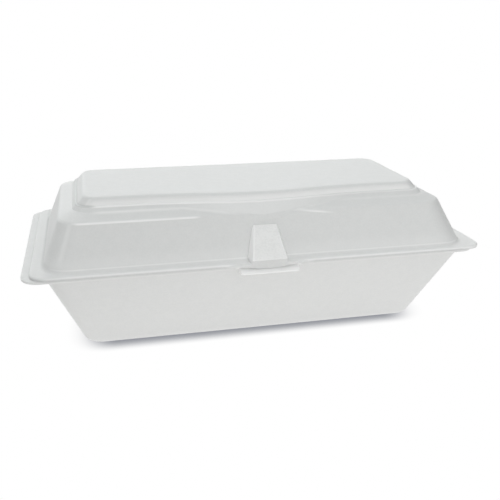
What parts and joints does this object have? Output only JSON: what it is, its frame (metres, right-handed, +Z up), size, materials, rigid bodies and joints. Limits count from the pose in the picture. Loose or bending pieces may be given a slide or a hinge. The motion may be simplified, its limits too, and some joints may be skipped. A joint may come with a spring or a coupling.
{
  "type": "sandwich container",
  "caption": "Long foam sandwich container with a tapering tray, a stepped lid that folds open at the back and a tab lock at the front.",
  "frame": {"origin": "centre of the closed container's box, on the table that it stands on", "axes": "+X along the length, +Y from the tab at the front to the hinge at the back, +Z up"},
  "size_m": [0.2476, 0.127, 0.0825],
  "materials": {
    "foam": "white expanded foam with a smooth satin skin and a fine cell grain"
  },
  "bodies": {
    "tray": {"tray": "foam"},
    "lid": {"lid": "foam"}
  },
  "joints": [
    {"name": "lid_hinge", "type": "hinge", "parent": "tray", "child": "lid", "pos_m": [0, 0.06365, 0.049], "axis": [-1, 0, 0], "range_deg": [0, 180]}
  ]
}
